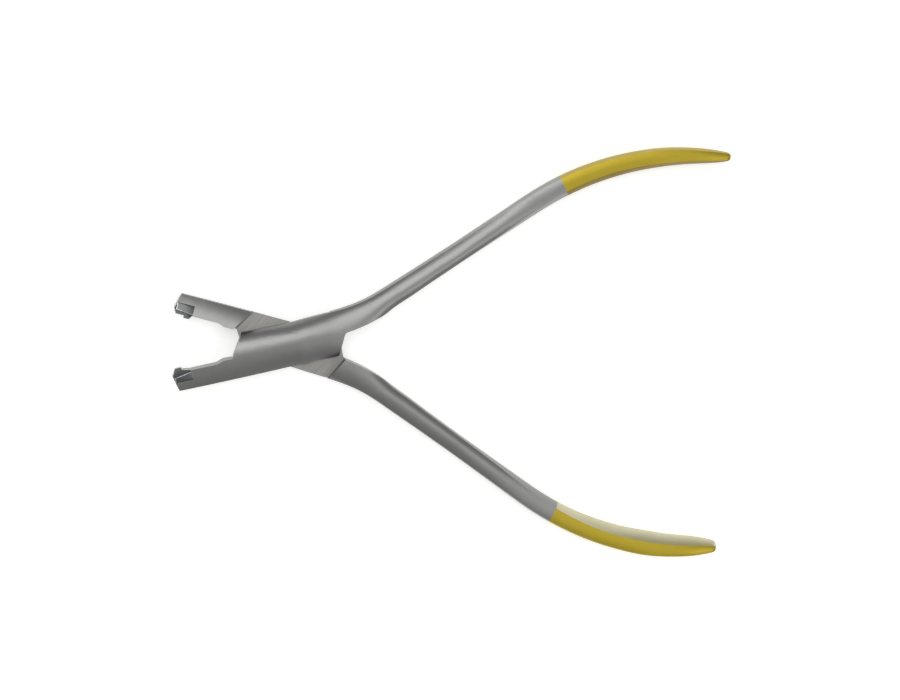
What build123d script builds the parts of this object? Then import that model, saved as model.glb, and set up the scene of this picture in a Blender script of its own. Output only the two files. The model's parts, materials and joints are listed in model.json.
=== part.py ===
from build123d import *
from dataclasses import dataclass
from math import cos, radians, sin, tan
import os

# Orthodontic shear cutter with a lap joint, drawn closed around the pivot and then opened.
# Millimetres and degrees. X runs from the jaws to the handles, Z along the pivot.
# One half is drawn with its jaw at -Y and its handle at +Y; the other is the same half turned over.

# Pose and joint
REST_OPENING = 26.5
JOINT_WIDTH = 10.6
JOINT_DEPTH = 8.2
JOINT_SIDE = 3.4
JOINT_SKEW = 0.3
EDGE = 0.06
DOME_LEAD = 2.4
SIDE_FULLNESS = 0.8
REST_FLAT = 3.9
LAP_GAP = 0.06
JAW_SHOULDER = 14.4
JAW_SHOULDER_ANGLE = 58.0
HANDLE_SHOULDER = 13.6
HANDLE_SHOULDER_ANGLE = 64.0
SHOULDER_CLEARANCE = 0.3
REAR_LAP_SETBACK = 1.1
RELIEF_WIDTH = 0.7
RELIEF_DEPTH = 0.8

# Jaw
JAW_REACH = 29.7
JAW_MID = 15.0
JAW_MID_WIDTH = 11.0
JAW_MID_DEPTH = 7.4
HEAD_END = 1.0
TIP_WIDTH = 11.1
TIP_DEPTH = 5.2
TIP_SIDE = 2.4
TIP_OVERRUN = 1.0
NOSE_HEIGHT = 1.7
NOSE_SLANT = 15.0
NOSE_CHAMFER = 0.9
END_BEVEL = 0.7
BEVEL_ANGLE = 50.0
STOP_GAP = 0.3
STOP_LAND = 2.4
STOP_RAMP = 1.7
JAW_RELIEF = 0.85

# Cutting inserts and their braze
INSERT_LENGTH = 4.9
POCKET_FLOOR = 3.45
BRAZE = 0.1
SHEAR_SETBACK = 2.7
SHEAR_GAP = 0.08
BITE_LAND = 1.6
ANVIL_RISE = 0.1
ANVIL_SHELF = 0.36
ANVIL_RIDGE_TIP = 2.5
ANVIL_RIDGE_ROOT = 1.05
BLADE_RISE = 0.22
BLADE_SHELF = 0.42
BLADE_LENGTH = 1.5
BLADE_RIDGE_TIP = 1.75
BLADE_RIDGE_ROOT = 1.0

# Handle: neck bend, straight shank, curved grip, straight tail
NECK_START = 5.0
NECK_RADIUS = 82.0
HANDLE_SPLAY = 21.3
SHANK_LENGTH = 43.7
GRIP_RADIUS = 72.0
GRIP_TURN = 35.0
TAIL_LENGTH = 7.3
NECK_FLARE = 4.6
NECK_STEPS = 6
HANDLE_STEPS = 8
LAP_STRAIGHT = 10.0
ROOT_WIDTH = 5.55
ROOT_DEPTH = 7.2
ROOT_SIDE = 5.2
ROOT_BULGE = 0.25
ROOT_TRIM = 0.05
SHANK_CREASE = 0.85
SHANK_WIDTH = 4.95
SHANK_DEPTH = 6.6
SHANK_SIDE = 5.0
SHANK_BULGE = 0.3
SHANK_SKEW = 0.35
GRIP_START_WIDTH = 5.25
GRIP_START_DEPTH = 6.9
GRIP_START_SIDE = 6.45
GRIP_START_INNER = 1.1
GRIP_START_OUTER = 0.4
GRIP_START_CREASE = 0.8
GRIP_WIDTH = 5.4
GRIP_DEPTH = 7.7
GRIP_SIDE = 7.35
GRIP_INNER = 1.7
GRIP_OUTER = 0.5
GRIP_CREASE = 1.0
GRIP_FULLNESS = 0.7
TAIL_WIDTH = 4.45
TAIL_DEPTH = 6.6
TAIL_SIDE = 6.25
TAIL_INNER = 1.4
TAIL_OUTER = 0.6
TAIL_CREASE = 0.6
TAIL_TAPERS = ((0.4, 0.88), (0.85, 0.64))
TAIL_CAP = ((0.95, 0.51), (1.0, 0.3))
CROTCH_GAP = 0.15
CROTCH_RADIUS = 1.2

# Gold plating on the grips
PLATED_LENGTH = 42.8
PLATING = 0.1

# Pivot rivet
RIVET_DIAMETER = 4.4
RIVET_HEAD = 6.2
RIVET_HEAD_DEPTH = 1.7
RIVET_CLEARANCE = 0.03

# Reach of the cutting tools past the metal
FAR = 60.0


# The handle's centreline, from the joint to the end of the tail
neck = JernArc((-NECK_START, 0), (1, 0), NECK_RADIUS, HANDLE_SPLAY)
shank = Line(neck @ 1, (neck @ 1) + (neck % 1) * SHANK_LENGTH)
grip = JernArc(shank @ 1, shank % 1, GRIP_RADIUS, -GRIP_TURN)
tail = Line(grip @ 1, (grip @ 1) + (grip % 1) * TAIL_LENGTH)


@dataclass
class Section:
    """Sizes of one cross-section of the bar: two crowned faces and two bulged sides.

    The faces run smoothly into the sides where crease is 0 and meet them in an edge where it is more.
    Skew moves the highest line of the crown towards the outer side, or the inner one where it is negative.
    """

    width: float
    depth: float
    side: float
    inner: float
    outer: float
    crease: float
    skew: float

    def towards(self, other, share):
        """The section that lies share of the way to the other one."""
        mine, theirs = vars(self), vars(other)
        return Section(**{name: mine[name] + (theirs[name] - mine[name]) * share for name in mine})

    def spanning(self, width):
        """The section with another width."""
        return Section(**{**vars(self), "width": width})

    def fuller(self, extra):
        """The section with its inner side standing out further by extra."""
        return Section(**{**vars(self), "width": self.width + extra, "inner": self.inner + extra})

    def scaled(self, share):
        """The section with its lengths times share."""
        return Section(*[size * share for size in vars(self).values()])

    def inset(self, skin):
        """The section made smaller all round by skin."""
        sizes = {"width": self.width - 2 * skin, "depth": self.depth - 2 * skin, "side": self.side - skin}
        return Section(**{**vars(self), **sizes})

    def face(self, point, along):
        """The section as a face across the direction along, with its outer side to the left."""
        left = -self.width / 2 + self.inner
        right = self.width / 2 - self.outer
        half = self.side / 2
        drop = half * SIDE_FULLNESS
        rise = (self.depth / 2 - half) * 4 / 3
        rise_in = rise * (1 - self.skew)
        rise_out = rise * (1 + self.skew)
        reach_in = self.inner * 4 / 3
        reach_out = self.outer * 4 / 3
        from_in = left + rise_in * reach_in / drop + self.crease
        from_out = right - rise_out * reach_out / drop - self.crease
        low = half - drop
        crown = [(left, half), (from_in, half + rise_in), (from_out, half + rise_out), (right, half)]
        outside = [(right, half), (right + reach_out, low), (right + reach_out, -low), (right, -half)]
        inside = [(left, -half), (left - reach_in, -low), (left - reach_in, low), (left, half)]
        back = [(x, -z) for x, z in reversed(crown)]
        edges = [Bezier(*crown), Bezier(*outside), Bezier(*back), Bezier(*inside)]
        lateral = Vector(-along.Y, along.X, 0)
        return Plane(origin=point, x_dir=lateral, z_dir=along) * make_face(edges)


# Named sections from the tip to the tail
tip_section = Section(TIP_WIDTH, TIP_DEPTH, TIP_SIDE, EDGE, EDGE, DOME_LEAD, JOINT_SKEW)
jaw_section = Section(JAW_MID_WIDTH, JAW_MID_DEPTH, JOINT_SIDE, EDGE, EDGE, DOME_LEAD, JOINT_SKEW)
joint_section = Section(JOINT_WIDTH, JOINT_DEPTH, JOINT_SIDE, EDGE, EDGE, DOME_LEAD, JOINT_SKEW)
root_section = Section(
    ROOT_WIDTH, ROOT_DEPTH, ROOT_SIDE, ROOT_BULGE, ROOT_BULGE, SHANK_CREASE, -SHANK_SKEW / 2,
)
shank_section = Section(
    SHANK_WIDTH, SHANK_DEPTH, SHANK_SIDE, SHANK_BULGE, SHANK_BULGE, SHANK_CREASE, -SHANK_SKEW,
)
start_section = Section(
    GRIP_START_WIDTH, GRIP_START_DEPTH, GRIP_START_SIDE, GRIP_START_INNER, GRIP_START_OUTER,
    GRIP_START_CREASE, 0.0,
)
grip_section = Section(GRIP_WIDTH, GRIP_DEPTH, GRIP_SIDE, GRIP_INNER, GRIP_OUTER, GRIP_CREASE, 0.0)
tail_section = Section(TAIL_WIDTH, TAIL_DEPTH, TAIL_SIDE, TAIL_INNER, TAIL_OUTER, TAIL_CREASE, 0.0)


def head():
    """The straight bar of jaws and joint, thinning towards the tip."""
    ahead = Vector(1, 0, 0)
    tip = tip_section.face(Vector(-JAW_REACH - TIP_OVERRUN, 0), ahead)
    jaw = jaw_section.face(Vector(-JAW_MID, 0), ahead)
    joint = joint_section.face(Vector(0, 0), ahead)
    return loft([tip, jaw, joint]) + extrude(joint, HEAD_END)


def eased(share):
    """A smooth step from 0 to 1, level at both ends."""
    share = max(0.0, min(1.0, share))
    return share * share * (3 - 2 * share)


def neck_stations():
    """Stations from the joint to the root of the handle.

    The outer side flares out of the joint into the handle. The inner one runs straight along the lap
    plate and then rises to the handle.
    """
    along = neck % 1
    lateral = Vector(-along.Y, along.X)
    outer_end = (neck @ 1) + lateral * ROOT_WIDTH / 2
    inner_end = (neck @ 1) - lateral * ROOT_WIDTH / 2
    half = JOINT_WIDTH / 2
    pull = (outer_end.X - HEAD_END) / 3
    flared = Vector(HEAD_END + pull, half + pull * tan(radians(NECK_FLARE)))
    outer_line = Bezier(Vector(HEAD_END, half), flared, outer_end - along * pull, outer_end)
    stations = []
    for step in range(NECK_STEPS):
        share = step / NECK_STEPS
        x = HEAD_END + (inner_end.X - HEAD_END) * share
        rise = inner_end.Y + (x - inner_end.X) * along.Y / along.X + half
        inner = Vector(x, rise * eased((x - LAP_STRAIGHT) / (inner_end.X - LAP_STRAIGHT)) - half)
        across = (outer_line @ share) - inner
        middle = inner + across / 2
        section = joint_section.towards(root_section, eased(share)).spanning(across.length)
        stations.append((middle, Vector(across.Y, -across.X).normalized(), section))
    return stations


def station(path, share, section):
    """A station on the handle's centreline: the point, the direction there and the section."""
    return path @ share, path % share, section


def spaced(path, knots):
    """Stations at even steps along the path, with the sections blended from knot to knot."""
    stations = []
    for step in range(1, HANDLE_STEPS + 1):
        share = step / HANDLE_STEPS
        before = max((knot for knot in knots if knot[0] < share), key=lambda knot: knot[0])
        after = min((knot for knot in knots if knot[0] >= share), key=lambda knot: knot[0])
        blend = (share - before[0]) / (after[0] - before[0])
        stations.append(station(path, share, before[1].towards(after[1], blend)))
    return stations


def handle(skin, fullness):
    """The bent and curved handle with its rounded end, made smaller all round by skin.

    The inner side of the grip stands out further by fullness.
    """
    full_grip = grip_section.fuller(fullness)
    full_tail = tail_section.fuller(fullness)
    shank_knots = [
        (0.0, root_section),
        (0.25, root_section.towards(shank_section, 0.65)),
        (0.5, shank_section),
        (0.75, shank_section.towards(start_section, 0.4)),
        (1.0, start_section),
    ]
    grip_knots = [
        (0.0, start_section),
        (0.25, start_section.towards(grip_section.fuller(fullness / 5), 0.6)),
        (0.5, grip_section.fuller(fullness / 2)),
        (0.75, full_grip),
        (0.875, full_grip.towards(full_tail, 0.4)),
        (1.0, full_tail),
    ]
    stops = neck_stations() + [station(neck, 1, root_section)]
    stops += spaced(shank, shank_knots)
    stops += spaced(grip, grip_knots)
    stops += [station(tail, share, full_tail.scaled(taper)) for share, taper in TAIL_TAPERS]
    cap = stops[-1:]
    cap += [station(tail, share - skin / TAIL_LENGTH, full_tail.scaled(taper)) for share, taper in TAIL_CAP]
    solid = Part()
    for run in (stops, cap):
        solid += loft([section.inset(skin).face(point, along) for point, along, section in run])
    return solid


def prism(points, low, high):
    """A straight-sided tool over the closed outline, from low to high along Z."""
    return Pos(0, 0, low) * extrude(make_face(Polyline(*points, close=True)), high - low, dir=(0, 0, 1))


def through(points):
    """A tool that goes right through the half."""
    return prism(points, -JOINT_DEPTH, JOINT_DEPTH)


def trimmed(solid, point, outward):
    """Takes off everything beyond the plane through point."""
    return split(solid, bisect_by=Plane(origin=point, z_dir=outward), keep=Keep.BOTTOM)


def lean(angle, height):
    """How far a line at angle to the X axis moves along X over height."""
    return height / tan(radians(angle))


def nose_trim(solid):
    """Cuts the slanted end, the nose chamfer and the bevels of the jaw tip."""
    top = JOINT_WIDTH
    rise = tan(radians(NOSE_SLANT))
    outside = (-JAW_REACH + (top - NOSE_HEIGHT) * rise, -top)
    nose = (-JAW_REACH, -NOSE_HEIGHT)
    inside = (-JAW_REACH + NOSE_CHAMFER * (NOSE_HEIGHT + top) / NOSE_HEIGHT, top)
    beyond = -JAW_REACH - FAR
    solid -= through([outside, nose, inside, (beyond, top), (beyond, -top)])
    slope = radians(BEVEL_ANGLE)
    slant = radians(NOSE_SLANT)
    for side in (1, -1):
        edge = Vector(-JAW_REACH + END_BEVEL, -NOSE_HEIGHT, side * TIP_DEPTH / 2)
        outward = Vector(-cos(slant) * cos(slope), -sin(slant) * cos(slope), side * sin(slope))
        solid = trimmed(solid, edge, outward)
    return solid


def jaw_clearance(setback):
    """The space of the other jaw: lap end, stop land, ramp and relief."""
    top = JOINT_WIDTH
    beyond = -JAW_REACH - FAR
    land = -JAW_SHOULDER - STOP_LAND
    lap_end = setback - JAW_SHOULDER
    corner = (lap_end - lean(JAW_SHOULDER_ANGLE, STOP_GAP), -STOP_GAP)
    return through([
        corner,
        (lap_end + lean(JAW_SHOULDER_ANGLE, top), top),
        (beyond, top),
        (beyond, -JAW_RELIEF),
        (land - STOP_RAMP, -JAW_RELIEF),
        (land, -STOP_GAP),
    ])


def slanted(x, angle, width):
    """A strip of the width across the half, along a shoulder that crosses the X axis at x."""
    top = JOINT_WIDTH
    reach = lean(angle, top)
    span = width / sin(radians(angle))
    return [(x - reach, top), (x + reach, -top), (x + reach + span, -top), (x - reach + span, top)]


def lap_recess():
    """The space of the other half's lap plate between the two shoulders, with a groove along each."""
    top = JOINT_WIDTH
    flat = LAP_GAP / 2
    front = -JAW_SHOULDER - SHOULDER_CLEARANCE / sin(radians(JAW_SHOULDER_ANGLE))
    back = HANDLE_SHOULDER + SHOULDER_CLEARANCE / sin(radians(HANDLE_SHOULDER_ANGLE))
    reach_front = lean(JAW_SHOULDER_ANGLE, top)
    reach_back = lean(HANDLE_SHOULDER_ANGLE, top)
    outline = [
        (front + reach_front, -top),
        (back + reach_back, -top),
        (back - reach_back, top),
        (front - reach_front, top),
    ]
    foot = back - RELIEF_WIDTH / sin(radians(HANDLE_SHOULDER_ANGLE))
    front_groove = prism(slanted(front, JAW_SHOULDER_ANGLE, RELIEF_WIDTH), -flat, flat + RELIEF_DEPTH)
    back_groove = prism(slanted(foot, HANDLE_SHOULDER_ANGLE, RELIEF_WIDTH), -flat, flat + RELIEF_DEPTH)
    return prism(outline, -JOINT_DEPTH, flat) + front_groove + back_groove


def crotch():
    """The space below the handle's root: lap end, rounded corner and the inner curve of the neck."""
    top = JOINT_WIDTH
    along = neck % 1
    lateral = Vector(-along.Y, along.X)
    corner = Vector(HANDLE_SHOULDER + lean(HANDLE_SHOULDER_ANGLE, CROTCH_GAP), CROTCH_GAP)
    bottom = Vector(HANDLE_SHOULDER - lean(HANDLE_SHOULDER_ANGLE, top), -top)
    root = (neck @ 1) - lateral * (ROOT_WIDTH / 2 - ROOT_TRIM)
    past = root + along * ROOT_WIDTH
    edges = [
        Line(corner, bottom),
        Line(bottom, Vector(past.X, -top)),
        Line(Vector(past.X, -top), past),
        Line(past, root),
        TangentArc(root, corner, tangent=along * -1),
    ]
    face = make_face(edges)
    sharp = face.vertices().sort_by_distance(corner)[0]
    face = fillet(sharp, CROTCH_RADIUS)
    return Pos(0, 0, -JOINT_DEPTH) * extrude(face, 2 * JOINT_DEPTH, dir=(0, 0, 1))


def pocket(gap):
    """The corner notch at the tip that takes the insert, made smaller by gap."""
    top = JOINT_WIDTH
    beyond = -JAW_REACH - FAR
    end = INSERT_LENGTH - JAW_REACH - gap
    floor = -POCKET_FLOOR + gap
    return through([(end, floor), (end, top), (beyond, top), (beyond, floor)])


def insert(form, bite, ridge_tip, ridge_root):
    """A carbide block flush with the jaw, ground to its bite outline and bevelled on both sides."""
    end = INSERT_LENGTH - JAW_REACH - BRAZE
    floor = -POCKET_FLOOR + BRAZE
    beyond = -JAW_REACH - FAR
    block = form & through([(beyond, floor), (end, floor), (end, -JAW_RELIEF)] + bite)
    for side in (1, -1):
        ridge = Vector(-JAW_REACH, -ridge_tip, side * TIP_DEPTH / 2)
        root = Vector(end, -ridge_root, side * TIP_DEPTH / 2)
        edge = Vector(SHEAR_SETBACK - JAW_REACH, max(y for x, y in bite), side * BITE_LAND / 2)
        outward = (root - ridge).cross(edge - ridge).normalized()
        if outward.Z * side < 0:
            outward = outward * -1
        block = trimmed(block, ridge, outward)
    return block


def rivet_form(clearance, front, back):
    """Shank with a cone at each end that is asked for, as heights of the outer faces."""
    radius = RIVET_DIAMETER / 2 + clearance
    wide = RIVET_HEAD / 2 + clearance
    solid = Cylinder(radius, 2 * JOINT_DEPTH)
    for level in (front, back):
        if level:
            cone = Cone(radius, wide, RIVET_HEAD_DEPTH)
            rim = Cylinder(wide, JOINT_DEPTH)
            stack = Pos(0, 0, -RIVET_HEAD_DEPTH / 2) * cone + Pos(0, 0, JOINT_DEPTH / 2) * rim
            turned = stack if level > 0 else Rot(180, 0, 0) * stack
            solid += Pos(0, 0, level) * turned
    return solid


# Forms shared by the two halves
grip_share = 1 - (PLATED_LENGTH - TAIL_LENGTH) / grip.length
plating_plane = Plane(origin=grip @ grip_share, z_dir=grip % grip_share)
nose = nose_trim(head())
braze = (nose & (pocket(0.0) - pocket(BRAZE))) - jaw_clearance(0.0)


def forging(fullness, setback):
    """One half with its bare outer form and the plating of its grip."""
    outer = handle(0.0, fullness)
    core = split(handle(PLATING, fullness), bisect_by=plating_plane, keep=Keep.TOP)
    plating = split(outer, bisect_by=plating_plane, keep=Keep.TOP) - core
    form = nose + split(outer, bisect_by=plating_plane, keep=Keep.BOTTOM)
    half = form - jaw_clearance(setback) - pocket(0.0) - lap_recess() - crotch() + core
    return half, form, plating


front_blank, front_form, front_plating = forging(-GRIP_FULLNESS, 0.0)
rear_blank, rear_form, rear_plating = forging(GRIP_FULLNESS, REAR_LAP_SETBACK)

# The front jaw carries the anvil and the rear jaw the blade that shears past it
shear = SHEAR_SETBACK - JAW_REACH
far = -JAW_REACH - FAR
edge = shear - SHEAR_GAP / 2
anvil_bite = [(edge, -ANVIL_SHELF), (edge, ANVIL_RISE), (far, ANVIL_RISE)]
anvil = insert(nose, anvil_bite, ANVIL_RIDGE_TIP, ANVIL_RIDGE_ROOT)
edge = shear + SHEAR_GAP / 2
blade_bite = [(edge + BLADE_LENGTH, BLADE_RISE), (edge, BLADE_RISE), (edge, -BLADE_SHELF), (far, -BLADE_SHELF)]
blade = insert(nose, blade_bite, BLADE_RIDGE_TIP, BLADE_RIDGE_ROOT)

# Rivet, peened flush into the front half and running in the rear half
rivet = rivet_form(0.0, JOINT_DEPTH / 2, -REST_FLAT)
upper = rivet & front_form & (Pos(0, 0, FAR / 2) * Box(FAR, FAR, FAR))
lower = trimmed(rivet & (Rot(180, 0, 0) * rear_form), Vector(0, 0, 0), Vector(0, 0, 1))
rivet = trimmed(upper + lower, Vector(0, 0, -REST_FLAT), Vector(0, 0, -1))
front_half = front_blank - rivet_form(0.0, JOINT_DEPTH / 2, 0)
rear_bored = rear_blank - rivet_form(RIVET_CLEARANCE, REST_FLAT, 0)
rear_half = trimmed(rear_bored, Vector(0, 0, REST_FLAT), Vector(0, 0, 1))

# Opened to the rest pose, lying on the ground flat of the rear half
front = Pos(0, 0, REST_FLAT) * Rot(0, 0, REST_OPENING / 2)
rear = Pos(0, 0, REST_FLAT) * Rot(0, 0, -REST_OPENING / 2) * Rot(180, 0, 0)
pieces = {
    "front_half": front * front_half,
    "front_jaw_insert": front * anvil,
    "front_insert_braze": front * braze,
    "front_handle_plating": front * front_plating,
    "pivot_rivet": front * rivet,
    "rear_half": rear * rear_half,
    "rear_jaw_insert": rear * blade,
    "rear_insert_braze": rear * braze,
    "rear_handle_plating": rear * rear_plating,
}
os.makedirs("parts", exist_ok=True)
for name, piece in pieces.items():
    solid = piece.solids()
    print(name, len(solid), round(piece.volume, 3), piece.is_valid)
    solid[0].label = name
    export_step(solid[0], os.path.join("parts", name + ".step"))
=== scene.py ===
"""Looks of the orthodontic pliers: finishes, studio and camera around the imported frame.

The pliers lie on a pale floor, open, with the pivot near the origin. X runs from the jaws to the
handles, Y towards the handle of the front half and Z up to the viewer. Blender works in metres.
"""

from __future__ import annotations

import json
import logging
import math
from dataclasses import dataclass, field
from enum import Enum
from typing import Any

import bpy
from mathutils import Matrix, Vector

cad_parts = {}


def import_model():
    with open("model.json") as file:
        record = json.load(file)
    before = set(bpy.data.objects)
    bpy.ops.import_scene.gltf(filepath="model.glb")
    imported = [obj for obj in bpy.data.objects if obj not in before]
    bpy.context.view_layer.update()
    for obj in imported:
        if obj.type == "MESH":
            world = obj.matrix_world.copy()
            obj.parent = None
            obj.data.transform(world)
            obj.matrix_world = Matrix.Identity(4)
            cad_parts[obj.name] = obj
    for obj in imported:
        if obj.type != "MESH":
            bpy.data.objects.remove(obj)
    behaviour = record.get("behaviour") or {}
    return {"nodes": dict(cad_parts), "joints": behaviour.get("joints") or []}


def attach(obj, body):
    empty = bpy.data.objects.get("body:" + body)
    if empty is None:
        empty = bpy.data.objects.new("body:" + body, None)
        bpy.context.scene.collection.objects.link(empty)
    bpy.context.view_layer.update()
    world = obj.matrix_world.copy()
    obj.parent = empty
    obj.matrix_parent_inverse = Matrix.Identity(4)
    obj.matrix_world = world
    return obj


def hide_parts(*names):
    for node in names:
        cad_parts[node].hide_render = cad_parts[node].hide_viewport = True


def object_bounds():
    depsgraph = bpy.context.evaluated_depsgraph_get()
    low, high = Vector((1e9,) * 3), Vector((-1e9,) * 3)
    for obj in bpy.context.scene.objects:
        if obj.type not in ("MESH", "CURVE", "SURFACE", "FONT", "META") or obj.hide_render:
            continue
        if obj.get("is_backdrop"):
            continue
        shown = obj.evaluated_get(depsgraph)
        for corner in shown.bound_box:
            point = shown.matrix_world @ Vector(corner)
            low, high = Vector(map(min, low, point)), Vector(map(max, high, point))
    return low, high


LOG = logging.getLogger("pliers")

MM = 0.001

# A noise texture's values lie mostly between these
NOISE_LOW = 0.3
NOISE_HIGH = 0.7


class Side(Enum):
    """The two halves of the tool, by the body that carries them."""

    FRONT = "front"
    REAR = "rear"


class Slot(Enum):
    """Material slots of the record that have one finish."""

    STEEL = "satin_steel"
    CARBIDE = "carbide"
    BRAZE = "silver_braze"


def linear(colour: str) -> tuple[float, float, float, float]:
    """Turns an sRGB hex colour to linear light.

    Args:
        colour: A colour such as "#c0c0c0".

    Returns:
        Red, green, blue and an alpha of 1.
    """
    shares = [int(colour[start : start + 2], 16) / 255 for start in (1, 3, 5)]
    light = [s / 12.92 if s <= 0.04045 else ((s + 0.055) / 1.055) ** 2.4 for s in shares]
    return (light[0], light[1], light[2], 1.0)


def per_metre(size_mm: float) -> float:
    """Finds the texture scale for a feature of a given size.

    Args:
        size_mm: How long one feature is.

    Returns:
        The scale, in features to a metre.
    """
    return 1.0 / (size_mm * MM)


def add_node(
    tree: bpy.types.NodeTree, kind: str, inputs: dict[Any, Any] | None = None, **settings: Any
) -> bpy.types.Node:
    """Adds a node, sets it and links it.

    Args:
        tree: The node tree.
        kind: The node's type name without its ShaderNode prefix.
        inputs: For each input, by name or number, a value or the socket that feeds it.
        settings: Attributes of the node.

    Returns:
        The new node.
    """
    node = tree.nodes.new("ShaderNode" + kind)
    for name, value in settings.items():
        setattr(node, name, value)
    for key, value in (inputs or {}).items():
        if isinstance(value, bpy.types.NodeSocket):
            tree.links.new(value, node.inputs[key])
        else:
            node.inputs[key].default_value = value
    return node


def new_material(name: str) -> tuple[bpy.types.Material, bpy.types.NodeTree]:
    """Makes an empty node material.

    Args:
        name: The material's name.

    Returns:
        The material and its tree, with only an output node in it.
    """
    material = bpy.data.materials.new(name)
    material.use_nodes = True
    tree = material.node_tree
    tree.nodes.clear()
    add_node(tree, "OutputMaterial")
    return material, tree


def shine(tree: bpy.types.NodeTree, inputs: dict[Any, Any]) -> None:
    """Ends a tree in a metal surface.

    Args:
        tree: The material's tree.
        inputs: Values and sockets for the principled shader.
    """
    shader = add_node(tree, "BsdfPrincipled", {"Metallic": 1.0, **inputs})
    tree.links.new(shader.outputs["BSDF"], tree.nodes["Material Output"].inputs["Surface"])


def noise(
    tree: bpy.types.NodeTree, place: bpy.types.NodeSocket, size_mm: float, detail: float
) -> bpy.types.NodeSocket:
    """Adds a noise texture.

    Args:
        tree: The material's tree.
        place: Coordinates.
        size_mm: How long one feature is.
        detail: The noise's octaves.

    Returns:
        The noise's value.
    """
    sizes = {"Vector": place, "Scale": per_metre(size_mm), "Detail": detail}
    return add_node(tree, "TexNoise", sizes).outputs["Fac"]


def blend(
    tree: bpy.types.NodeTree, share: bpy.types.NodeSocket, first: Any, second: Any
) -> bpy.types.NodeSocket:
    """Mixes two colours.

    Args:
        tree: The material's tree.
        share: How much of the second one shows.
        first: A linear colour or a socket.
        second: A linear colour or a socket.

    Returns:
        The mixed colour.
    """
    inputs = {"Factor": share, "A": first, "B": second}
    return add_node(tree, "Mix", inputs, data_type="RGBA").outputs["Result"]


def spread(
    tree: bpy.types.NodeTree, value: bpy.types.NodeSocket, low: float, high: float
) -> bpy.types.NodeSocket:
    """Maps a noise value to a range.

    Args:
        tree: The material's tree.
        value: The noise.
        low: The result at the dark end.
        high: The result at the light end.

    Returns:
        The socket with the mapped value.
    """
    ends = {
        "Value": value,
        "From Min": NOISE_LOW,
        "From Max": NOISE_HIGH,
        "To Min": low,
        "To Max": high,
    }
    return add_node(tree, "MapRange", ends).outputs["Result"]


def calculate(tree: bpy.types.NodeTree, operation: str, *values: Any) -> bpy.types.NodeSocket:
    """Adds a math node.

    Args:
        tree: The node tree.
        operation: The node's operation.
        values: Its inputs in order, numbers or sockets.

    Returns:
        The result.
    """
    return add_node(tree, "Math", dict(enumerate(values)), operation=operation).outputs["Value"]


def beyond(tree: bpy.types.NodeTree, value: bpy.types.NodeSocket, limit: float) -> bpy.types.NodeSocket:
    """Tells where a value lies past a limit, seen from zero.

    Args:
        tree: The material's tree.
        value: The value.
        limit: The limit, above or below zero.

    Returns:
        1 past the limit and 0 elsewhere.
    """
    return calculate(tree, "GREATER_THAN" if limit > 0 else "LESS_THAN", value, limit)


@dataclass(frozen=True)
class SatinSteel:
    """Hardened stainless steel, bead-blasted to a satin; the lap faces are surface-ground.

    The eye sees soft broad highlights with a fine grain in them, and on the lap faces a lighter,
    flatter grey with thin grinding lines across it.
    """

    lap_height: float
    name: str = "satin_steel_blasted"
    dark: str = "#858584"
    light: str = "#8f8f8e"
    ground_dark: str = "#878683"
    ground_light: str = "#979692"
    roughness_low: float = 0.36
    roughness_high: float = 0.42
    grain_mm: float = 0.35
    grain_detail: float = 3.0
    grain_depth_mm: float = 0.004
    grain_strength: float = 0.5
    cloud_mm: float = 7.0
    cloud_detail: float = 2.0
    grind_mm: float = 0.25
    grind_detail: float = 4.0
    grind_angle: float = 52.0
    grind_stretch: float = 18.0
    lap_window_mm: float = 0.09
    lap_level: float = 0.97

    def material(self) -> bpy.types.Material:
        """Builds the node tree.

        Returns:
            The material.
        """
        material, tree = new_material(self.name)
        place = add_node(tree, "TexCoord").outputs["Object"]
        grain = noise(tree, place, self.grain_mm, self.grain_detail)
        cloud = noise(tree, place, self.cloud_mm, self.cloud_detail)
        mask = self.lap_mask(tree, place)
        lines = self.grinding(tree, place)
        blasted = blend(tree, cloud, linear(self.dark), linear(self.light))
        ground = blend(tree, lines, linear(self.ground_dark), linear(self.ground_light))
        relief = add_node(tree, "Mix", {"Factor": mask, "A": grain, "B": lines}).outputs["Result"]
        depth = self.grain_depth_mm * MM
        bump = add_node(
            tree,
            "Bump",
            {"Height": relief, "Strength": self.grain_strength, "Distance": depth},
        )
        shine(
            tree,
            {
                "Base Color": blend(tree, mask, blasted, ground),
                "Roughness": spread(tree, grain, self.roughness_low, self.roughness_high),
                "Normal": bump.outputs["Normal"],
            },
        )
        return material

    def lap_mask(self, tree: bpy.types.NodeTree, place: bpy.types.NodeSocket) -> bpy.types.NodeSocket:
        """Finds the flat lap faces, which lie in the plane between the halves.

        Args:
            tree: The material's tree.
            place: Object coordinates.

        Returns:
            1 on the lap faces and 0 elsewhere.
        """
        height = add_node(tree, "SeparateXYZ", {"Vector": place}).outputs["Z"]
        near = calculate(tree, "COMPARE", height, self.lap_height, self.lap_window_mm * MM)
        normal = add_node(tree, "NewGeometry").outputs["Normal"]
        facing = add_node(tree, "SeparateXYZ", {"Vector": normal}).outputs["Z"]
        flat = beyond(tree, calculate(tree, "ABSOLUTE", facing), self.lap_level)
        return calculate(tree, "MULTIPLY", near, flat)

    def grinding(self, tree: bpy.types.NodeTree, place: bpy.types.NodeSocket) -> bpy.types.NodeSocket:
        """Draws thin straight grinding lines, as coarse as they need to be to show.

        Args:
            tree: The material's tree.
            place: Object coordinates.

        Returns:
            The lines, from 0 to 1.
        """
        turn = (0.0, 0.0, math.radians(-self.grind_angle))
        turned = add_node(tree, "Mapping", {"Vector": place, "Rotation": turn}).outputs["Vector"]
        stretch = (1.0 / self.grind_stretch, 1.0, 1.0)
        drawn = add_node(tree, "Mapping", {"Vector": turned, "Scale": stretch}).outputs["Vector"]
        return spread(tree, noise(tree, drawn, self.grind_mm, self.grind_detail), 0.0, 1.0)


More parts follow.
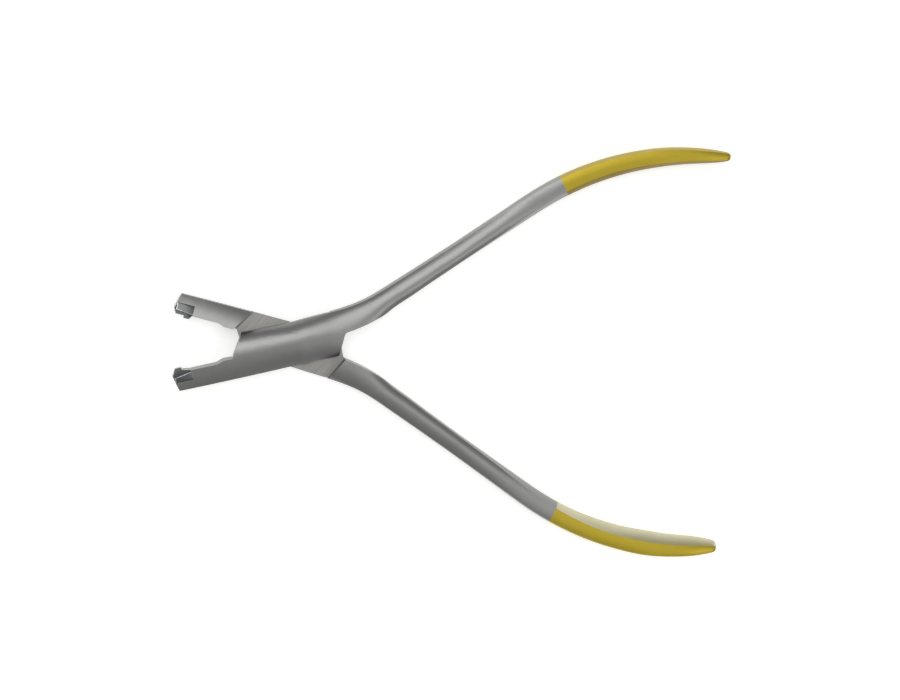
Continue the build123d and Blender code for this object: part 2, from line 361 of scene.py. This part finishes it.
@dataclass(frozen=True)
class GoldPlate:
    """Gold plated over polished steel.

    The eye sees a greenish yellow with soft highlights and a faint waviness from polishing. The
    flank that looks towards the other grip has light painted into its colour: painted shade, browner,
    on one grip and a painted reflection, pale cream, on the other. Flank_lean is how far that flank
    faces along Y, with its sign.
    """

    name: str
    # Painted light on the inner flank: painted shade on one grip, a painted reflection on the other.
    flank: str
    flank_lean: float
    flank_level: float = 0.66
    face_level: float = 0.84
    dark: str = "#a6922e"
    light: str = "#b19e3a"
    roughness_low: float = 0.42
    roughness_high: float = 0.48
    cloud_mm: float = 5.0
    cloud_detail: float = 3.0
    wave_mm: float = 2.4
    wave_detail: float = 1.0
    wave_depth_mm: float = 0.01
    wave_strength: float = 0.3

    def material(self) -> bpy.types.Material:
        """Builds the node tree.

        Returns:
            The material.
        """
        material, tree = new_material(self.name)
        place = add_node(tree, "TexCoord").outputs["Object"]
        cloud = noise(tree, place, self.cloud_mm, self.cloud_detail)
        wave = noise(tree, place, self.wave_mm, self.wave_detail)
        colour = blend(tree, cloud, linear(self.dark), linear(self.light))
        depth = self.wave_depth_mm * MM
        bump = add_node(
            tree,
            "Bump",
            {"Height": wave, "Strength": self.wave_strength, "Distance": depth},
        )
        shine(
            tree,
            {
                # The inner flank's colour is painted shade on one grip and a painted reflection on the
                # other.
                "Base Color": blend(tree, self.painted_flank_mask(tree), colour, linear(self.flank)),
                "Roughness": spread(tree, cloud, self.roughness_low, self.roughness_high),
                "Normal": bump.outputs["Normal"],
            },
        )
        return material

    def painted_flank_mask(self, tree: bpy.types.NodeTree) -> bpy.types.NodeSocket:
        """Finds the upright side of the grip that looks towards the other grip, where the painted
        shade of one grip and the painted reflection of the other go.

        Args:
            tree: The material's tree.

        Returns:
            1 on that side and 0 elsewhere.
        """
        normal = add_node(tree, "TexCoord").outputs["Normal"]
        facing = add_node(tree, "SeparateXYZ", {"Vector": normal})
        ends = {
            "Value": calculate(tree, "ABSOLUTE", facing.outputs["Z"]),
            "From Min": self.flank_level,
            "From Max": self.face_level,
            "To Min": 1.0,
            "To Max": 0.0,
        }
        steep = add_node(tree, "MapRange", ends).outputs["Result"]
        inner = beyond(tree, facing.outputs["Y"], self.flank_lean)
        return calculate(tree, "MULTIPLY", steep, inner)


@dataclass(frozen=True)
class Carbide:
    """Sintered tungsten carbide, ground on a wheel.

    The eye sees a dark dense grey with fine straight marks.
    """

    name: str = "tungsten_carbide_ground"
    dark: str = "#58595a"
    light: str = "#6e6f70"
    roughness_low: float = 0.26
    roughness_high: float = 0.36
    mark_mm: float = 0.3
    mark_detail: float = 3.0
    mark_stretch: float = 10.0

    def material(self) -> bpy.types.Material:
        """Builds the node tree.

        Returns:
            The material.
        """
        material, tree = new_material(self.name)
        place = add_node(tree, "TexCoord").outputs["Object"]
        stretch = (1.0, 1.0 / self.mark_stretch, 1.0)
        drawn = add_node(tree, "Mapping", {"Vector": place, "Scale": stretch}).outputs["Vector"]
        marks = noise(tree, drawn, self.mark_mm, self.mark_detail)
        colour = blend(tree, marks, linear(self.dark), linear(self.light))
        roughness = spread(tree, marks, self.roughness_low, self.roughness_high)
        shine(tree, {"Base Color": colour, "Roughness": roughness})
        return material


@dataclass(frozen=True)
class PaintedEdgeHighlight:
    """Edges of the carbide, honed on a stone along the bite and the tip.

    The eye sees a thin near-white line there, which is a painted highlight: the honed faces get a
    near-white colour. The edges that lie in the pocket keep the dark carbide.
    Bite_lean is how far an edge of the bite faces along Y at least, with its sign.
    """

    name: str
    bite_lean: float
    tip_lean: float = -0.06
    dull: str = "#58595a"
    # Painted highlight: the near-white colour of the honed faces along the bite and the tip.
    painted_highlight: str = "#e2e2e0"
    roughness: float = 0.3

    def material(self) -> bpy.types.Material:
        """Builds the node tree.

        Returns:
            The material.
        """
        material, tree = new_material(self.name)
        normal = add_node(tree, "TexCoord").outputs["Normal"]
        facing = add_node(tree, "SeparateXYZ", {"Vector": normal})
        bite = beyond(tree, facing.outputs["Y"], self.bite_lean)
        tip = beyond(tree, facing.outputs["X"], self.tip_lean)
        # The faces that look towards the bite or the tip get the painted highlight; the pocket's edges
        # stay dull.
        highlighted = calculate(tree, "MAXIMUM", bite, tip)
        colour = blend(tree, highlighted, linear(self.dull), linear(self.painted_highlight))
        shine(tree, {"Base Color": colour, "Roughness": self.roughness})
        return material


@dataclass(frozen=True)
class SilverBraze:
    """Silver solder, left as it set round the insert.

    The eye sees a thin dull line, a little warmer than the steel.
    """

    name: str = "silver_braze_dull"
    dark: str = "#8a867c"
    light: str = "#b4afa2"
    roughness_low: float = 0.42
    roughness_high: float = 0.55
    grain_mm: float = 0.3
    grain_detail: float = 3.0

    def material(self) -> bpy.types.Material:
        """Builds the node tree.

        Returns:
            The material.
        """
        material, tree = new_material(self.name)
        place = add_node(tree, "TexCoord").outputs["Object"]
        grain = noise(tree, place, self.grain_mm, self.grain_detail)
        colour = blend(tree, grain, linear(self.dark), linear(self.light))
        roughness = spread(tree, grain, self.roughness_low, self.roughness_high)
        shine(tree, {"Base Color": colour, "Roughness": roughness})
        return material


@dataclass
class Finishes:
    """The materials of the tool, with a gold and an edge of its own for each half.

    The front gold has painted shade on its inner flank and the rear gold a painted reflection there;
    each edge material has a painted highlight.
    """

    lap_height: float
    # Painted light on the grips' inner flanks: painted shade on the front grip, a painted reflection on
    # the rear grip.
    front_flank_painted_shade: str = "#806c18"
    rear_flank_painted_reflection: str = "#c6c2a4"
    flank_lean: float = 0.35
    bite_lean: float = 0.06
    made: dict[Slot, bpy.types.Material] = field(default_factory=dict)
    golds: dict[Side, bpy.types.Material] = field(default_factory=dict)
    edges: dict[Side, bpy.types.Material] = field(default_factory=dict)

    def prepare(self) -> None:
        """Makes every material once.

        The front half has the lower jaw, which bites upward, and the upper grip, which looks down at
        the other one. The rear half is the other way round.
        """
        self.made[Slot.STEEL] = SatinSteel(self.lap_height).material()
        self.made[Slot.CARBIDE] = Carbide().material()
        self.made[Slot.BRAZE] = SilverBraze().material()
        # brown carries the painted shade on its flank, pale the painted reflection.
        brown = GoldPlate("gold_plate_painted_shade_flank", self.front_flank_painted_shade, -self.flank_lean)
        pale = GoldPlate("gold_plate_painted_reflection_flank", self.rear_flank_painted_reflection, self.flank_lean)
        self.golds[Side.FRONT] = brown.material()
        self.golds[Side.REAR] = pale.material()
        # Edge materials with a painted highlight on the honed faces.
        self.edges[Side.FRONT] = PaintedEdgeHighlight("tungsten_carbide_painted_edge_highlight_front", self.bite_lean).material()
        self.edges[Side.REAR] = PaintedEdgeHighlight("tungsten_carbide_painted_edge_highlight_rear", -self.bite_lean).material()

    def dress(self, piece: bpy.types.Object, slot: Slot) -> None:
        """Gives a piece the finish of a slot.

        Args:
            piece: The object to dress.
            slot: The record's slot.
        """
        self.wear(piece, self.made[slot])

    def gild(self, piece: bpy.types.Object, side: Side) -> None:
        """Gives a grip's plating the gold of its half.

        Args:
            piece: The plating.
            side: The half that it covers.
        """
        self.wear(piece, self.golds[side])

    def hone(self, insert: bpy.types.Object, side: Side) -> None:
        """Gives an insert's edges, which have the last slot, their own material, which paints a
        highlight on them.

        Args:
            insert: The insert with honed edges.
            side: The half that holds it.
        """
        insert.material_slots[-1].material = self.edges[side]

    @staticmethod
    def wear(piece: bpy.types.Object, material: bpy.types.Material) -> None:
        """Puts a material in every slot of a piece.

        Args:
            piece: The object to dress.
            material: Its material.
        """
        for holder in piece.material_slots:
            holder.material = material
        LOG.info("%s wears %s", piece.name, material.name)


@dataclass
class Half:
    """One half of the tool: forging, carbide insert, braze and plated grip."""

    side: Side
    honing_mm: float = 0.2
    honing_steps: int = 2
    edge_angle: float = 20.0
    smooth_angle: float = 40.0
    weld_mm: float = 0.001
    flat_angle: float = 1.0

    def dress(self, nodes: dict[str, bpy.types.Object], finishes: Finishes) -> None:
        """Dresses the four pieces of the half.

        Args:
            nodes: The nodes of the frame by name.
            finishes: The tool's materials.
        """
        name = self.side.value
        finishes.dress(nodes[f"{name}_half"], Slot.STEEL)
        insert = self.honed(nodes[f"{name}_jaw_insert"])
        finishes.dress(insert, Slot.CARBIDE)
        finishes.hone(insert, self.side)
        finishes.dress(nodes[f"{name}_insert_braze"], Slot.BRAZE)
        finishes.gild(nodes[f"{name}_handle_plating"], self.side)

    def honed(self, node: bpy.types.Object) -> bpy.types.Object:
        """Makes a copy of the insert with its edges honed round, which stands for the node.

        Args:
            node: The insert of the frame.

        Returns:
            The copy, with a material slot of their own for the honed edges.
        """
        bpy.ops.object.select_all(action="DESELECT")
        copy = bpy.data.objects.new(f"{node.name}_honed", node.data.copy())
        bpy.context.scene.collection.objects.link(copy)
        copy.select_set(True)
        bpy.context.view_layer.objects.active = copy
        bpy.ops.mesh.customdata_custom_splitnormals_clear()
        bpy.ops.object.mode_set(mode="EDIT")
        bpy.ops.mesh.select_all(action="SELECT")
        bpy.ops.mesh.remove_doubles(threshold=self.weld_mm * MM)
        bpy.ops.mesh.dissolve_limited(angle_limit=math.radians(self.flat_angle))
        bpy.ops.object.mode_set(mode="OBJECT")
        copy.data.materials.append(copy.data.materials[0])
        bevel = copy.modifiers.new("honing", "BEVEL")
        bevel.material = len(copy.data.materials) - 1
        bevel.width = self.honing_mm * MM
        bevel.segments = self.honing_steps
        bevel.limit_method = "ANGLE"
        bevel.angle_limit = math.radians(self.edge_angle)
        bpy.ops.object.modifier_apply(modifier=bevel.name)
        bpy.ops.object.shade_smooth_by_angle(angle=math.radians(self.smooth_angle))
        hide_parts(node.name)
        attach(copy, self.side.value)
        return copy


@dataclass
class Rivet:
    """The pivot rivet, ground flush with the front half and blasted with it."""

    node: str = "pivot_rivet"

    def dress(self, nodes: dict[str, bpy.types.Object], finishes: Finishes) -> None:
        """Dresses the rivet as the steel round it.

        Args:
            nodes: The nodes of the frame by name.
            finishes: The tool's materials.
        """
        finishes.dress(nodes[self.node], Slot.STEEL)


@dataclass
class Softbox:
    """A square area lamp that points at the tool."""

    name: str
    place: tuple[float, float, float]
    width: float
    radiance: float

    def hang(self, target: Vector) -> None:
        """Adds the lamp.

        Args:
            target: The point that it looks at.
        """
        lamp = bpy.data.lights.new(self.name, "AREA")
        lamp.shape = "SQUARE"
        lamp.size = self.width
        lamp.energy = self.radiance * math.pi * self.width**2
        holder = bpy.data.objects.new(self.name, lamp)
        holder.location = self.place
        holder.rotation_euler = (target - Vector(self.place)).to_track_quat("-Z", "Y").to_euler()
        bpy.context.scene.collection.objects.link(holder)


@dataclass
class Studio:
    """A white table under two large soft lamps, with a grey room round it."""

    floor_width: float = 6.0
    floor_colour: str = "#f4f4f2"
    floor_roughness: float = 0.8
    floor_glow: float = 0.5
    room_colour: str = "#ffffff"
    room_low: float = 0.36
    room_high: float = 0.55
    lamps: tuple[Softbox, ...] = (
        Softbox("overhead_softbox", (-0.45, 0.78, 2.4), 1.85, 2.1),
        Softbox("side_softbox", (1.4, -0.65, 1.84), 1.3, 1.8),
    )

    def build(self, target: Vector) -> None:
        """Makes the floor, the room's light and the lamps.

        Args:
            target: The middle of the tool.
        """
        self.floor()
        self.room()
        for lamp in self.lamps:
            lamp.hang(target)

    def floor(self) -> None:
        """Lays the white table under the tool, which glows a little to camera and mirror rays."""
        bpy.ops.object.select_all(action="DESELECT")
        bpy.ops.mesh.primitive_plane_add(size=self.floor_width, location=(0.0, 0.0, 0.0))
        floor = bpy.context.active_object
        floor.name = "table"
        material, tree = new_material("table_white")
        rays = add_node(tree, "LightPath").outputs
        seen = calculate(tree, "MAXIMUM", rays["Is Camera Ray"], rays["Is Glossy Ray"])
        seen = calculate(tree, "MAXIMUM", seen, rays["Is Transmission Ray"])
        paper = add_node(
            tree,
            "BsdfPrincipled",
            {
                "Base Color": linear(self.floor_colour),
                "Roughness": self.floor_roughness,
                "Emission Color": linear(self.floor_colour),
                "Emission Strength": calculate(tree, "MULTIPLY", seen, self.floor_glow),
            },
        )
        tree.links.new(paper.outputs["BSDF"], tree.nodes["Material Output"].inputs["Surface"])
        floor.data.materials.append(material)
        floor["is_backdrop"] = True

    def room(self) -> None:
        """Lights the room evenly, darker towards the horizon."""
        world = bpy.data.worlds.new("room")
        bpy.context.scene.world = world
        world.use_nodes = True
        tree = world.node_tree
        tree.nodes.clear()
        heading = add_node(tree, "TexCoord").outputs["Generated"]
        ends = {
            "Value": add_node(tree, "SeparateXYZ", {"Vector": heading}).outputs["Z"],
            "From Min": 0.0,
            "From Max": 1.0,
            "To Min": self.room_low,
            "To Max": self.room_high,
        }
        strength = add_node(tree, "MapRange", ends, interpolation_type="SMOOTHSTEP").outputs["Result"]
        light = add_node(tree, "Background", {"Color": linear(self.room_colour), "Strength": strength})
        add_node(tree, "OutputWorld", {"Surface": light.outputs["Background"]})


@dataclass
class Viewpoint:
    """The camera, placed by where the pivot shows in a picture of 900 by 700 pixels."""

    picture_width: int = 900
    picture_height: int = 700
    pivot_pixel: tuple[float, float] = (289.88, 344.05)
    pixels_per_mm: float = 4.086
    roll: float = 1.117
    tilt_left: float = 6.2
    tilt_up: float = 5.6
    distance_mm: float = 800.0
    sensor_mm: float = 36.0
    clip_start: float = 0.01

    def place(self, pivot: Vector) -> None:
        """Adds the camera and makes it the scene's own.

        Args:
            pivot: The pivot in the plane between the halves.
        """
        left = math.tan(math.radians(self.tilt_left))
        up = math.tan(math.radians(self.tilt_up))
        towards = Vector((-left, up, 1.0)).normalized()
        roll = math.radians(self.roll)
        level = Vector((math.cos(roll), math.sin(roll), 0.0))
        right = (level - towards * level.dot(towards)).normalized()
        upward = towards.cross(right)
        across = (self.picture_width / 2 - self.pivot_pixel[0]) / self.pixels_per_mm * MM
        down = (self.picture_height / 2 - self.pivot_pixel[1]) / self.pixels_per_mm * MM
        middle = pivot + right * across - upward * down
        data = bpy.data.cameras.new("camera")
        data.sensor_fit = "HORIZONTAL"
        data.sensor_width = self.sensor_mm
        data.lens = self.pixels_per_mm * self.distance_mm * self.sensor_mm / self.picture_width
        data.clip_start = self.clip_start
        holder = bpy.data.objects.new("camera", data)
        turn = Matrix((right, upward, towards)).transposed().to_4x4()
        holder.matrix_world = Matrix.Translation(middle + towards * self.distance_mm * MM) @ turn
        bpy.context.scene.collection.objects.link(holder)
        bpy.context.scene.camera = holder


def main() -> None:
    """Dresses the tool and sets up the studio."""
    logging.basicConfig(level=logging.INFO, format="%(name)s: %(message)s")
    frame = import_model()
    cad_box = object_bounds()
    pivot = Vector(frame["joints"][0]["pos_m"])
    finishes = Finishes(lap_height=pivot.z)
    finishes.prepare()
    for side in Side:
        Half(side).dress(frame["nodes"], finishes)
    Rivet().dress(frame["nodes"], finishes)
    Studio().build((cad_box[0] + cad_box[1]) / 2)
    Viewpoint().place(pivot)
    bpy.context.scene.view_settings.view_transform = "Standard"


if __name__ == "__main__":
    main()
